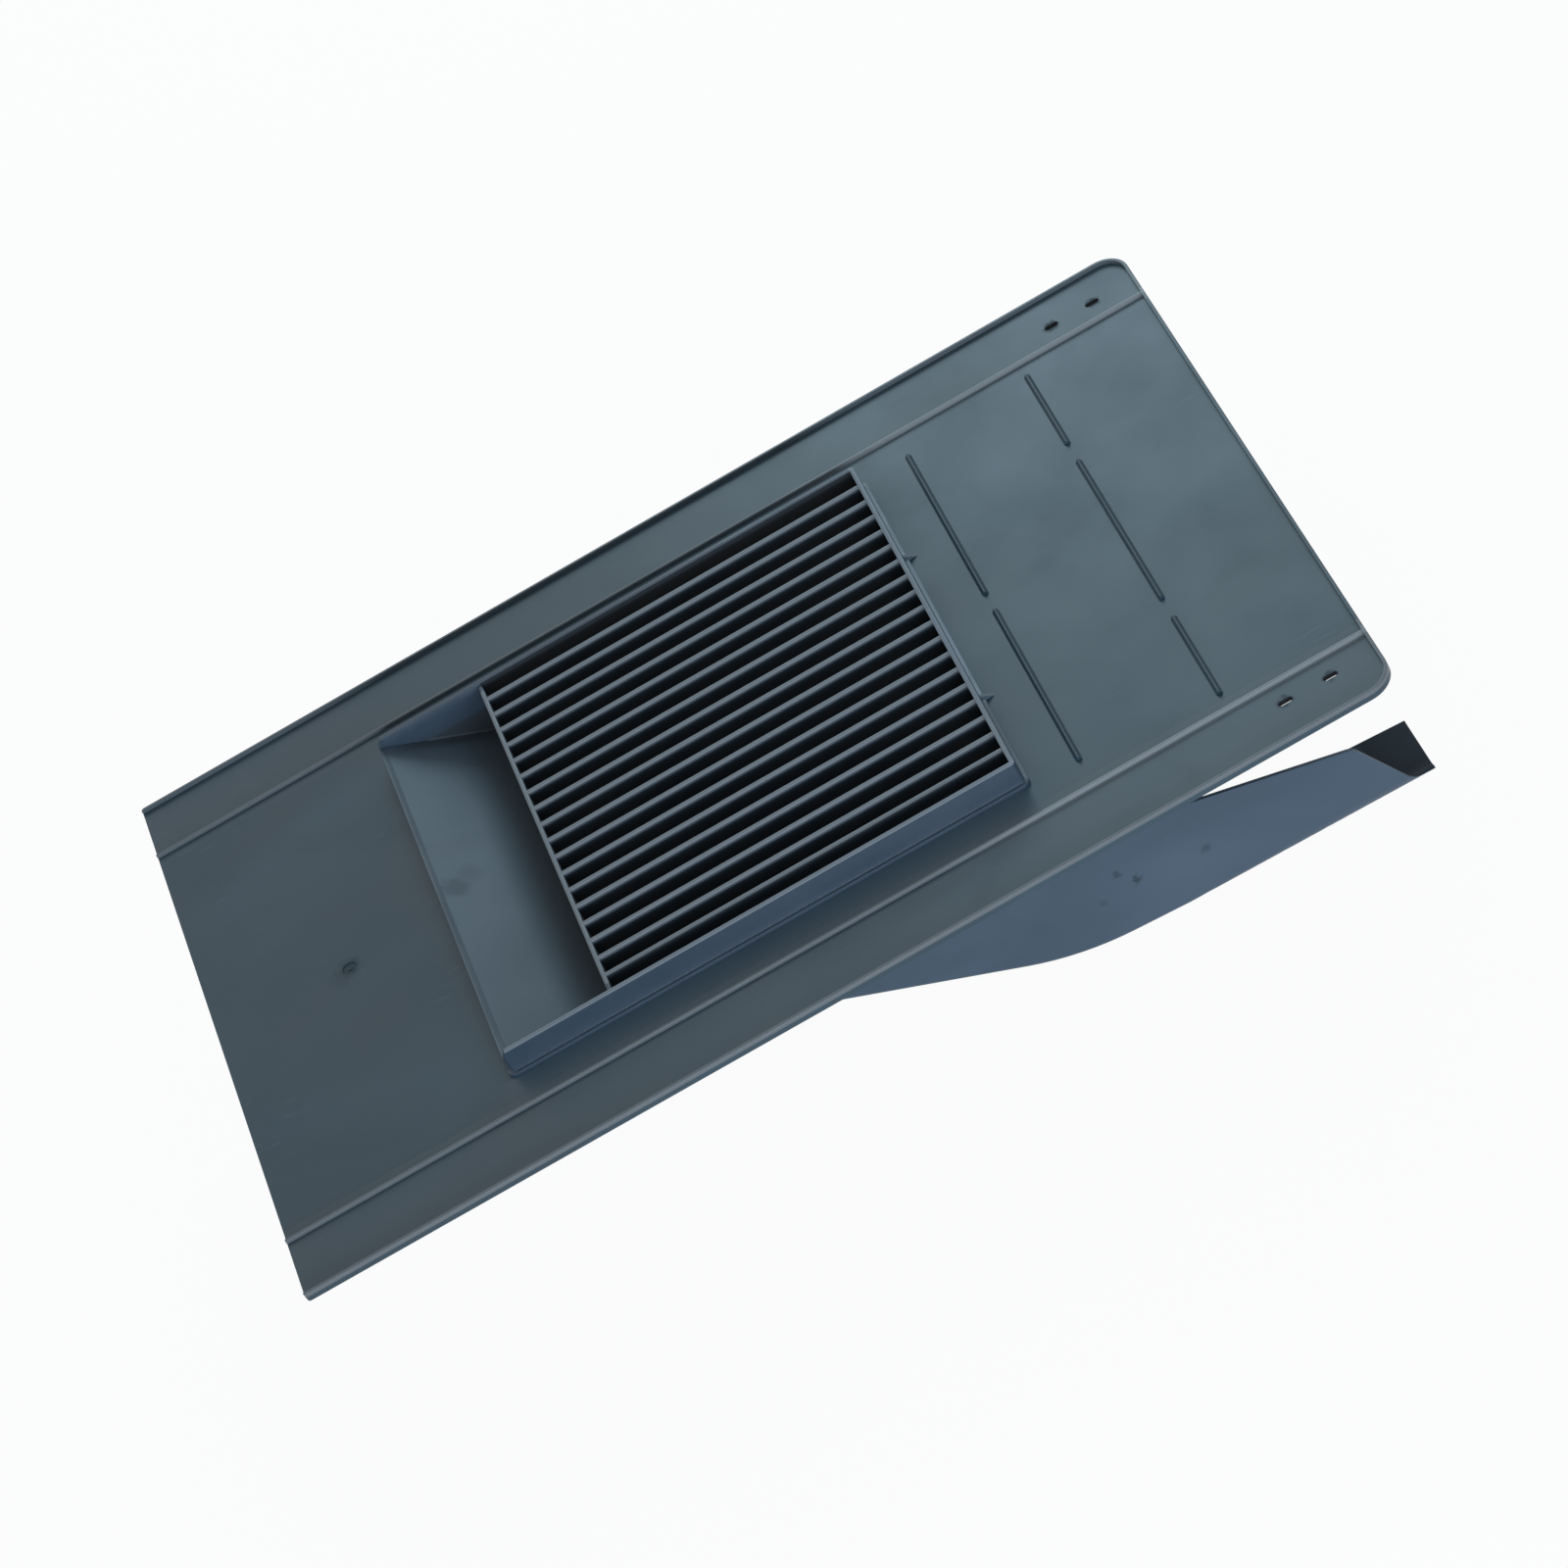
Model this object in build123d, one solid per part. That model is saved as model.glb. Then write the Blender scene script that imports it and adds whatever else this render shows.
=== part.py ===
from build123d import *
import math
import os

# Roof vent for a slate roof, all sizes in millimetres.
# A flat slate-shaped tray carries a raised louvre grille, and an air scoop hangs below the tray.
# +X runs up the roof slope from the tail to the head, +Y across it, +Z up and out of the roof.
# The origin is the middle of the nail slots, on the underside that lies on the battens.

# Tray
tray_length = 600.0
tray_width = 385.0
sheet = 3.0  # thickness of the tray's flat sheet
rim_width = 1.8  # raised rim along both sides and the head
rim_height = 2.5  # above the sheet
rim_round = 0.7
head_corner = 15.0
tail_corner = 2.0

# Water bars and weather baffles, all standing on the sheet
bar_height = 2.1  # of the bars and the baffles, above the sheet
bar_foot = 2.4
bar_top = 2.0
bar_round = 0.8
baffle_foot = 3.6
baffle_top = 0.8
baffle_round = 0.35
side_bar_inset = 40.0  # from the tray's side to the middle of the bar
low_baffle_setback = 150.0  # from the head edge
low_baffle_span = 264.0
low_baffle_gap = 15.0
high_baffle_setback = 75.5
high_baffle_span = 281.0
high_baffle_gap = 16.5
high_gap_offset = 69.0  # from the centre line to the middle of each gap

# Nail slots
nail_setback = 38.5  # from the head edge to the middle of the pattern
nail_pitch = 24.5
nail_edge = 25.3  # from the tray's side to the middle of a slot
nail_slot_length = 8.0
nail_slot_width = 3.4

# Gate mark left by the mould
gate_to_grille = 58.1  # from the grille's tail face towards the tail
gate_radius = 4.0
gate_depth = 0.5
gate_pip_radius = 1.2

# Louvre grille, a frame that stands on the tray round its opening
grille_setback = 177.6  # from the head edge to the frame's head face
grille_length = 287.8
grille_width = 257.0
grille_wall = 2.5
grille_height = 16.3  # above the sheet
frame_corner = 2.0
wall_top_round = 0.7
lip_height = 11.7  # height of the frame's tail wall above the sheet
tail_rake = 3.0  # length over which the side walls drop to the lip
foot_width = 2.0  # bead round the frame's foot
foot_height = 2.0
foot_round = 0.8
web_thickness = 1.8  # two webs behind the head wall
web_length = 7.0
web_height = 4.0
web_offset = 60.5

# Louvre bars
bar_count = 18
louvre_width = 2.5
louvre_foot = 1.9  # width at the lower edge
louvre_depth = 11.0
louvre_round = 0.75
louvre_drop = 1.3  # tops of the bars below the top of the frame
louvre_start = 62.2  # from the frame's tail face to the middle of the front bar

# Air scoop: ramp, chute and two arms, with a sleeve that fills the tray's opening
scoop_wall = 2.0
fit_gap = 0.2  # between the sleeve and the tray
rail_depth = 5.0  # cross rail at the sleeve's head end, below the tray
chute_angle = 26.6  # slope from the lip down to the bend
floor_angle = 3.8  # fall of the floor from the bend to the head end
floor_drop = 132.9  # from the tray's underside to the top of the floor at the head end
bend_radius = 145.0
scoop_overrun = 2.5  # arms past the tray's head edge
ramp_gap = 0.3  # between the ramp and the grille's walls
fold_start_radius = 3.0  # outer radius of the fold between floor and sides, in the chute
fold_end_radius = 14.0  # the same fold at the head end of the arms
fold_run = 30.5  # floor between the end of the bend and the place where the fold begins to open
arm_tip_setback = 32.5  # from the head end
arm_tip_drop = 87.0  # below the tray's underside
arm_slope = 15.8  # of the arm's upper edge
arm_end_angle = 63.0
arm_toe = 4.5  # lip left above the floor at the head end
shoulder_radius = 25.0
tip_radius = 8.0
toe_radius = 10.0
notch_width = 163.0
notch_depth = 152.0

# Places worked out from the sizes above
head_x = nail_setback
tail_x = head_x - tray_length
mid_x = (head_x + tail_x) / 2
half_tray = tray_width / 2
root = sheet / 2  # how deep what stands on the sheet is rooted in it
grille_head = head_x - grille_setback
grille_tail = grille_head - grille_length
grille_top = sheet + grille_height
half_grille = grille_width / 2
half_inside = half_grille - grille_wall
half_scoop = half_inside + scoop_wall
sleeve_tail = grille_tail + grille_wall - scoop_wall
sleeve_head = grille_head - grille_wall + scoop_wall
lip_x = grille_tail + grille_wall + ramp_gap
lip_top = sheet + lip_height
scoop_end = head_x + scoop_overrun


def block(x0, x1, half_width, z0, z1):
    """A box centred on the middle plane."""
    return Pos((x0 + x1) / 2, 0, (z0 + z1) / 2) * Box(x1 - x0, 2 * half_width, z1 - z0)


def side_plate(points, half_width, rounds=()):
    """Extrudes an outline drawn in the X and Z directions across the part, with some corners rounded."""
    face = make_face(Polyline(*points, close=True))
    for corner, radius in rounds:
        face = fillet(face.vertices().sort_by_distance(Vector(*corner))[0], radius)
    return extrude(Plane.XZ * face, half_width, both=True)


def tray_plan(inset):
    """Plan of the tray: rounded corners at the head, nearly square ones at the tail."""
    plan = Pos(mid_x, 0) * Rectangle(tray_length - 2 * inset, tray_width - 2 * inset)
    plan = fillet(plan.vertices().group_by(Axis.X)[-1], head_corner - inset)
    return fillet(plan.vertices().group_by(Axis.X)[0], tail_corner - inset)


def ridge(length, foot, top, edge_round):
    """A low bar along X, narrower at its top, rooted in the sheet."""
    spread = foot / 2 + (foot - top) / 2 * root / bar_height
    section = make_face(Polyline((-spread, -root), (spread, -root), (top / 2, bar_height),
                                 (-top / 2, bar_height), close=True))
    section = fillet(section.vertices().group_by(Axis.Y)[-1], edge_round)
    bar = extrude(Plane.YZ * section, length / 2, both=True)
    return Pos(0, 0, sheet) * bar


def baffle(setback, ends):
    """Pieces of bar across the tray, each from one Y to another."""
    pieces = []
    for y0, y1 in ends:
        bar = ridge(y1 - y0, baffle_foot, baffle_top, baffle_round)
        pieces.append(Pos(head_x - setback, (y0 + y1) / 2, 0) * (Rot(0, 0, 90) * bar))
    return pieces


def slate_tray():
    """Sheet with a rim on three sides, bars, baffles, an opening and nail slots."""
    rim = extrude(tray_plan(0), sheet + rim_height)
    rim = fillet(rim.faces().sort_by(Axis.Z)[-1].edges(), rim_round)
    inner = Pos(0, 0, sheet) * extrude(Pos(mid_x, 0) * Rectangle(
        tray_length - 2 * rim_width, tray_width - 2 * rim_width), 2 * rim_height)
    inner = fillet(inner.edges().filter_by(Axis.Z).group_by(Axis.X)[-1], head_corner - rim_width)
    tail_end = block(tail_x - rim_width, mid_x, half_tray - rim_width, sheet, sheet + 2 * rim_height)
    tray = rim - inner - tail_end

    side_y = half_tray - side_bar_inset
    bar_length = tray_length - rim_width / 2
    for side in (-1, 1):
        bar = ridge(bar_length, bar_foot, bar_top, bar_round)
        tray += Pos(tail_x + bar_length / 2, side * side_y, 0) * bar
    low_end = low_baffle_span / 2
    low_gap = low_baffle_gap / 2
    for piece in baffle(low_baffle_setback, [(-low_end, -low_gap), (low_gap, low_end)]):
        tray += piece
    high_end = high_baffle_span / 2
    gap_in = high_gap_offset - high_baffle_gap / 2
    gap_out = high_gap_offset + high_baffle_gap / 2
    high_ends = [(-high_end, -gap_out), (-gap_in, gap_in), (gap_out, high_end)]
    for piece in baffle(high_baffle_setback, high_ends):
        tray += piece

    tray -= block(sleeve_tail - fit_gap, sleeve_head + fit_gap, half_scoop + fit_gap, -sheet, 2 * sheet)
    slot = extrude(SlotOverall(nail_slot_length, nail_slot_width), 2 * sheet, both=True)
    for x in (-nail_pitch / 2, nail_pitch / 2):
        for side in (-1, 1):
            tray -= Pos(x, side * (half_tray - nail_edge), 0) * slot
    gate_x = grille_tail - gate_to_grille
    tray -= Pos(gate_x, 0, sheet) * Cylinder(gate_radius, 2 * gate_depth)
    tray += Pos(gate_x, 0, sheet - gate_depth / 2) * Cylinder(gate_pip_radius, gate_depth)
    return tray


def louvre_grille():
    """Frame with a low tail wall, a foot bead and webs, and a row of louvre bars behind a front bar."""
    frame = block(grille_tail, grille_head, half_grille, sheet, grille_top)
    frame = fillet(frame.edges().filter_by(Axis.Z), frame_corner)
    frame = fillet(frame.faces().sort_by(Axis.Z)[-1].edges(), wall_top_round)
    foot = block(grille_tail - foot_width, grille_head + foot_width, half_grille + foot_width,
                 sheet, sheet + foot_height)
    foot = fillet(foot.edges().filter_by(Axis.Z), frame_corner + foot_width)
    foot = chamfer(foot.faces().sort_by(Axis.Z)[-1].edges(), foot_round)
    well = block(grille_tail + grille_wall, grille_head - grille_wall, half_inside, 0, 2 * grille_top)
    frame = frame + foot - well
    web_root = grille_head - grille_wall / 2
    web = [(web_root, sheet), (grille_head + web_length, sheet), (grille_head, sheet + web_height),
           (web_root, sheet + web_height)]
    for side in (-1, 1):
        frame += Pos(0, side * web_offset, 0) * side_plate(web, web_thickness / 2)

    rake = [(grille_tail - tail_rake, lip_top), (grille_tail, lip_top),
            (grille_tail + tail_rake, grille_top), (grille_tail + tail_rake, 2 * grille_top),
            (grille_tail - tail_rake, 2 * grille_top)]
    frame -= side_plate(rake, grille_width)
    lip_fall = 2 * grille_wall * math.tan(math.radians(chute_angle))
    bevel = [(grille_tail, lip_top), (grille_tail + 2 * grille_wall, lip_top - lip_fall),
             (grille_tail + 2 * grille_wall, 2 * grille_top), (grille_tail, 2 * grille_top)]
    frame -= side_plate(bevel, half_inside)

    top = grille_top - louvre_drop
    front_x = grille_tail + louvre_start
    section = make_face(Polyline((-louvre_width / 2, 0), (-louvre_foot / 2, -louvre_depth),
                                 (louvre_foot / 2, -louvre_depth), (louvre_width / 2, 0), close=True))
    section = fillet(section.vertices().group_by(Axis.Y)[-1], louvre_round)
    root_in = grille_wall / 2
    louvre_length = grille_head - root_in - front_x
    louvre = Pos(front_x + louvre_length / 2, 0, top) * extrude(
        Plane.YZ * section, louvre_length / 2, both=True)
    slot = (2 * half_inside - bar_count * louvre_width) / (bar_count + 1)
    first = -half_inside + slot + louvre_width / 2
    for i in range(bar_count):
        frame += Pos(0, first + i * (slot + louvre_width), 0) * louvre
    front = extrude(Plane.XZ * section, half_inside + root_in, both=True)
    frame += Pos(front_x, 0, top) * front
    return frame


def floor_points(offset):
    """Lip, bend and head end of the scoop's floor, on a line a given depth below its top."""
    chute = math.radians(chute_angle)
    fall = math.radians(floor_angle)
    lip_z = lip_top - math.tan(chute) * (lip_x - grille_tail) - offset / math.cos(chute)
    end_z = -floor_drop - offset / math.cos(fall)
    level_run = lip_z - end_z - math.tan(fall) * (scoop_end - lip_x)
    bend_x = lip_x + level_run / (math.tan(chute) - math.tan(fall))
    bend_z = lip_z - math.tan(chute) * (bend_x - lip_x)
    return (lip_x, lip_z), (bend_x, bend_z), (scoop_end, end_z)


def chute_crossing(offset, height):
    """Where the chute's line, a given depth below its top, passes a height."""
    lip = floor_points(offset)[0]
    return lip[0] + (lip[1] - height) / math.tan(math.radians(chute_angle))


def trough(offset, half_width, top_z):
    """Closed body above the floor line: sloping chute, bend and a stretch whose folds open out."""
    lip, bend, end = floor_points(offset)
    fall = math.radians(floor_angle)
    bend_run = bend_radius * math.tan(math.radians(chute_angle - floor_angle) / 2)
    fold_x = floor_points(0)[1][0] + bend_run + fold_run
    opening_run = scoop_end - fold_x
    past_x = scoop_end + fold_end_radius
    sections = []
    for x in (fold_x, past_x):
        z = end[1] + math.tan(fall) * (scoop_end - x)
        depth = (top_z - z) / math.cos(fall)
        growth = (fold_end_radius - fold_start_radius) * (x - fold_x) / opening_run
        section = Pos(0, depth / 2) * Rectangle(2 * half_width, depth)
        section = fillet(section.vertices().group_by(Axis.Y)[0],
                         fold_start_radius + growth - scoop_wall + offset)
        across = Plane(origin=(x, 0, z), x_dir=(0, 1, 0), z_dir=(math.cos(fall), 0, -math.sin(fall)))
        sections.append(across * section)
    opening = loft(sections, ruled=True)

    fold_z = end[1] + math.tan(fall) * opening_run
    outline = [(chute_crossing(offset, top_z), top_z), bend, (fold_x, fold_z),
               (fold_x + (top_z - fold_z) * math.tan(fall), top_z)]
    chute = side_plate(outline, half_width, [(bend, bend_radius + offset)])
    edges = chute.edges().filter_by(lambda e: abs(abs(e.center().Y) - half_width) < root)
    edges = edges.filter_by(lambda e: e.center().Z < top_z - root and e.center().X < fold_x - root)
    return fillet(edges, fold_start_radius - scoop_wall + offset) + opening


def air_scoop():
    """Ramp, chute and arms in one sheet, with a sleeve and a cross rail at the tray."""
    sleeve = block(sleeve_tail, sleeve_head, half_scoop, 0, sheet)
    sleeve -= block(lip_x + scoop_wall, sleeve_head - scoop_wall, half_inside, -sheet, 2 * sheet)
    rail = block(sleeve_head - scoop_wall, sleeve_head, half_scoop, -rail_depth, sheet)
    body = trough(scoop_wall, half_scoop, sheet) + sleeve - trough(0, half_inside, 2 * sheet) + rail

    lip = floor_points(0)[0]
    under = floor_points(scoop_wall)[0]
    fall = math.tan(math.radians(chute_angle)) * scoop_wall
    ramp = [(lip_x, root), lip, (chute_crossing(0, root), root), (chute_crossing(scoop_wall, root), root),
            (lip_x + scoop_wall, under[1] - fall), (lip_x + scoop_wall, root)]
    body += side_plate(ramp, half_inside - ramp_gap)

    tip_x = scoop_end - arm_tip_setback
    shoulder_z = -arm_tip_drop + math.tan(math.radians(arm_slope)) * (tip_x - sleeve_head)
    toe_z = -floor_drop + arm_toe
    toe_x = tip_x + (-arm_tip_drop - toe_z) / math.tan(math.radians(arm_end_angle))
    past = scoop_end + 2 * fold_end_radius
    arm_cut = [(sleeve_head, 2 * sheet), (sleeve_head, shoulder_z), (tip_x, -arm_tip_drop),
               (toe_x, toe_z), (past, toe_z), (past, 2 * sheet)]
    arm_rounds = [(arm_cut[1], shoulder_radius), (arm_cut[2], tip_radius), (arm_cut[3], toe_radius)]
    body -= side_plate(arm_cut, half_tray, arm_rounds)
    body -= block(scoop_end, past, half_tray, -2 * floor_drop, 0)

    round_x = scoop_end - notch_depth + notch_width / 2
    notch = Pos(round_x, 0, -floor_drop) * Cylinder(notch_width / 2, floor_drop)
    notch += block(round_x, past, notch_width / 2, -1.5 * floor_drop, -floor_drop / 2)
    return body - notch


os.makedirs("parts", exist_ok=True)
for name, make in (("slate_tray", slate_tray), ("louvre_grille", louvre_grille), ("air_scoop", air_scoop)):
    solid = make()
    solid.label = name
    export_step(solid, "parts/" + name + ".step")
    print(name, round(solid.volume), solid.bounding_box().size)
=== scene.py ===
import math
import bmesh
import bpy
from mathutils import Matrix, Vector


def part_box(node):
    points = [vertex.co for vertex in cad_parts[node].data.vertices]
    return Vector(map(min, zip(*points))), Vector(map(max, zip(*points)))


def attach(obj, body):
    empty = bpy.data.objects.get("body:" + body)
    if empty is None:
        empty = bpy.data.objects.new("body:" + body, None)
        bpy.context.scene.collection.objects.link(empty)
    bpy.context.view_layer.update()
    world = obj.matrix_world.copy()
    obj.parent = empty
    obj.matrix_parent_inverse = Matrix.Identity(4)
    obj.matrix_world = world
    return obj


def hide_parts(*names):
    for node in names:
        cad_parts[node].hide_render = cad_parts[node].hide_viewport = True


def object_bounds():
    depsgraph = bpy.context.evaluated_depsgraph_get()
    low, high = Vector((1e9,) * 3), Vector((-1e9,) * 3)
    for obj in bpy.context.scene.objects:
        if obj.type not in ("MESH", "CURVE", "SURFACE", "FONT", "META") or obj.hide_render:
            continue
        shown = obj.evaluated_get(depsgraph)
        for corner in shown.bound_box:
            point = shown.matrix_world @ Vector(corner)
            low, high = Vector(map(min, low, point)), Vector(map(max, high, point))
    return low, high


# Roof slate vent. The tray and the scoop are the CAD bodies with moulded plastic finishes.
# The grille is rebuilt here: its frame in mesh code, its louvre bars with Geometry Nodes.

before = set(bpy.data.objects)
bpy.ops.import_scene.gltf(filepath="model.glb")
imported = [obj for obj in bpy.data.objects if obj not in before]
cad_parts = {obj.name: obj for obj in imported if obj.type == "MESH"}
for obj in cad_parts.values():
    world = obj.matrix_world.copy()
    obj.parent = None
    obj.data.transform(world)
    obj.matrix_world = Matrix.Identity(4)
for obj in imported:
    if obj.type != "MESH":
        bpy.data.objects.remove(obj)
scene = bpy.context.scene
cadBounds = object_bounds()
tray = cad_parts["slate_tray"]
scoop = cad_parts["air_scoop"]
grilleLow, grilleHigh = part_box("louvre_grille")
mm = 0.001
print("frame loaded")


def linearColour(hexValue):
    # sRGB hex to the linear colour that the shader takes
    channels = [int(hexValue[i:i + 2], 16) / 255 for i in (1, 3, 5)]
    return [c / 12.92 if c <= 0.04045 else ((c + 0.055) / 1.055) ** 2.4 for c in channels] + [1.0]


def perMetre(size):
    # scale of a pattern whose cells have a size in mm
    return 1 / (size * mm)


def addNode(tree, kind, place, settings=None, values=None, links=None):
    # one node with its settings, its socket values and what feeds it
    node = tree.nodes.new(kind)
    node.location = place
    for name, value in (settings or {}).items():
        setattr(node, name, value)
    for socket, value in (values or {}).items():
        node.inputs[socket].default_value = value
    for socket, source in (links or {}).items():
        tree.links.new(source, node.inputs[socket])
    return node


def paintedShadingZone(low, high, fade, tone, amount, dull=0.0, topOnly=False):
    # painted light and shade: a box in mm with a tone, which fades outside its sides; topOnly spares
    # undersides
    return {"low": low, "high": high, "fade": fade, "tone": tone, "amount": amount, "dull": dull,
            "topOnly": topOnly}


# Polypropylene, injection moulded in a lightly eroded mould: an even slate-grey body, a low
# satin sheen that spreads wide, faint flow mottling, and rubbed scuffs from handling. Sizes are
# in mm. Limits are the two values of a pattern between which its mark comes in.
trayFinish = {
    "name": "polypropyleneSatinSlateGrey",
    "ior": 1.49,
    "body": "#2A4450",
    "flow": "#213A46",  # slightly darker where the melt cooled
    "flowSize": 90,  # across a band
    "flowStretch": 0.5,  # bands run longer up the slope
    "flowLimits": (0.35, 0.66),
    "scuff": "#4E636F",
    "scuffWidth": 4,
    "scuffStretch": 0.16,  # scuffs run longer up the slope
    "scuffTurn": 0.5,  # radians, applied after the stretch, so it only moves the pattern on
    "scuffLimits": (0.60, 0.72),
    "scuffAmount": 0.45,
    "rubbedSize": 64,  # across an area where scuffs come through
    "rubbedLimits": (0.48, 0.62),
    "smudge": "#22333E",
    "smudgeSize": 70,
    "smudgeLimits": (0.56, 0.74),
    "smudgeAmount": 0.35,
    "smudgeDull": 0.2,  # share of a smudge that dulls the sheen
    "speckTone": "#17222A",
    "speckCore": 0.25,  # share of a speck's radius at full strength
    "raggedSize": 3.846,  # of the pattern that frays a speck's edge
    "raggedEdge": 7.0,  # between the furthest in and the furthest out
    "grainSize": 0.8,  # the real grain is near 0.1 mm and is drawn coarser, so that it shows
    "grainDepth": 0.012,
    "waveSize": 60,  # slow waves of a moulded sheet
    "waveDepth": 0.13,
    "roughLow": 0.36,
    "roughHigh": 0.47,
    "roughLimits": (0.3, 0.7),
    "undersideLimits": (-0.3, -0.05),  # z of a normal: an underside up to the first
    "specks": [  # place, radius and strength
        ((-485.0, 0.0, 3.0), 10.0, 0.5),  # the gate's mark
        ((-490.0, -3.0, 3.0), 10.0, 0.28),
        ((-12.3, -167.2, 3.0), 5.2, 0.6),  # painted shade round the nail slots
        ((12.3, -167.2, 3.0), 5.2, 0.6),
        ((-12.3, 167.2, 3.0), 5.2, 0.6),
        ((12.3, 167.2, 3.0), 5.2, 0.6),
    ],
    "zones": [
        # painted light on the shaded near faces of the rims and water bars, and a painted highlight on their
        # tops
        paintedShadingZone((-570, -200, 3.3), (50, -145, 9), (1, 1, 0.4), "#86898A", 0.45),
        paintedShadingZone((-570, 145, 3.3), (50, 200, 9), (1, 1, 0.4), "#86898A", 0.35),
        # painted highlight on the water bars, strongest towards the head
        paintedShadingZone((-120, -155, 3.1), (50, -150.5, 9), (90, 0.5, 0.4), "#A3AAAC", 0.4),
        paintedShadingZone((-120, 150.5, 3.1), (50, 155, 9), (90, 0.5, 0.4), "#A3AAAC", 0.4),
        # painted shade on the baffles, standing in for their unlit sides
        paintedShadingZone((-130, -143, 3.3), (32, 143, 9), (1, 1, 0.3), "#263640", 0.25, dull=0.7),
        # painted light over the grille's cast shadow on the strip beside its near wall
        paintedShadingZone((-425, -150, 0), (-145, -132, 3.2), (12, 3, 0.3), "#6E808C", 0.32, topOnly=True),
        # painted shade inside the nail slots
        paintedShadingZone((-22, -186, -1), (26, -158, 2.6), (1, 1, 0.2), "#0B1116", 0.9, 0.9, topOnly=True),
        paintedShadingZone((-22, 158, -1), (26, 186, 2.6), (1, 1, 0.2), "#0B1116", 0.9, 0.9, topOnly=True),
    ],
}

# The scoop's body is bluer than the tray's, as painted light for the bluish fill on its camera-facing sides,
# with a duller wall and fewer scuffs and smudges. Its near side carries a few dark specks.
scoopFinish = trayFinish | {
    "name": "polypropyleneSatinBlueGrey",
    "body": "#3A4F5F",
    "flow": "#304556",
    "flowSize": 55,
    "scuff": "#4C6072",
    "scuffWidth": 6,
    "scuffAmount": 0.2,
    "rubbedSize": 96,
    "smudgeAmount": 0.15,
    "speckTone": "#10181E",
    "roughLow": 0.47,
    "roughHigh": 0.57,
    "specks": [
        ((-124.1, -128, -81.6), 3.8, 0.5),  # on the near side
        ((-116.2, -128, -91.1), 4.2, 0.7),
        ((-79.0, -128, -95.9), 3.8, 0.45),
        ((-136.6, -128, -94.5), 3.4, 0.3),
        ((-417.5, 5.8, 10.0), 11.0, 0.22),  # smudge on the ramp
        ((-409.0, 14.0, 6.0), 10.0, 0.13),
    ],
    "zones": [
        # painted light on the ramp
        paintedShadingZone((-424, -126.2, -25), (-360, 126.2, 13), (2, 0.3, 6), "#4E5A5E", 0.35, topOnly=True),
        # painted shade on the ramp beside the grille's far wall
        paintedShadingZone((-408, 123.5, -25), (-360, 126.2, 13), (16, 8, 6), "#141C22", 0.6, 0.5, topOnly=True),
        # painted shade inside the arms' ends
        paintedShadingZone((18, -126.2, -150), (50, 126.2, -60), (18, 0.3, 5), "#121B22", 0.85, 0.85, topOnly=True),
        # painted shade on the ramp under the louvre bars
        paintedShadingZone((-362, -126.2, -60), (-340, 126.2, -12), (42, 0.3, 24), "#0A1015", 0.93, 0.75, topOnly=True),
        # painted light from the floor along the lower edge of the near side
        paintedShadingZone((-100, -130, -140), (42, -127, -105), (70, 1, 45), "#66798A", 0.15),
    ],
}


def between(limits, top=1.0, base=0.0):
    # values for a Map Range that rises from base to top between two limits
    return {"From Min": limits[0], "From Max": limits[1], "To Min": base, "To Max": top}


def zoneShare(tree, place, upward, zone, level):
    # share of a zone: distance outside its box, measured in its fade
    low, high, fade = [Vector(zone[part]) * mm for part in ("low", "high", "fade")]
    fromMiddle = addNode(tree, "ShaderNodeVectorMath", (-2400, level), {"operation": "SUBTRACT"},
                         {1: (low + high) / 2}, {0: place})
    distances = addNode(tree, "ShaderNodeVectorMath", (-2200, level), {"operation": "ABSOLUTE"},
                        links={0: fromMiddle.outputs[0]})
    beyond = addNode(tree, "ShaderNodeVectorMath", (-2000, level), {"operation": "SUBTRACT"},
                     {1: (high - low) / 2}, {0: distances.outputs[0]})
    outside = addNode(tree, "ShaderNodeVectorMath", (-1800, level), {"operation": "MAXIMUM"},
                      {1: (0, 0, 0)}, {0: beyond.outputs[0]})
    faded = addNode(tree, "ShaderNodeVectorMath", (-1600, level), {"operation": "DIVIDE"},
                    {1: fade}, {0: outside.outputs[0]})
    away = addNode(tree, "ShaderNodeVectorMath", (-1400, level), {"operation": "LENGTH"},
                   links={0: faded.outputs[0]})
    share = addNode(tree, "ShaderNodeMapRange", (-1250, level), {"interpolation_type": "SMOOTHSTEP"},
                    {"To Min": zone["amount"], "To Max": 0}, {"Value": away.outputs["Value"]})
    if zone["topOnly"]:
        share = addNode(tree, "ShaderNodeMath", (-1100, level), {"operation": "MULTIPLY"},
                        links={0: share.outputs[0], 1: upward})
    return share.outputs[0]


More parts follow.
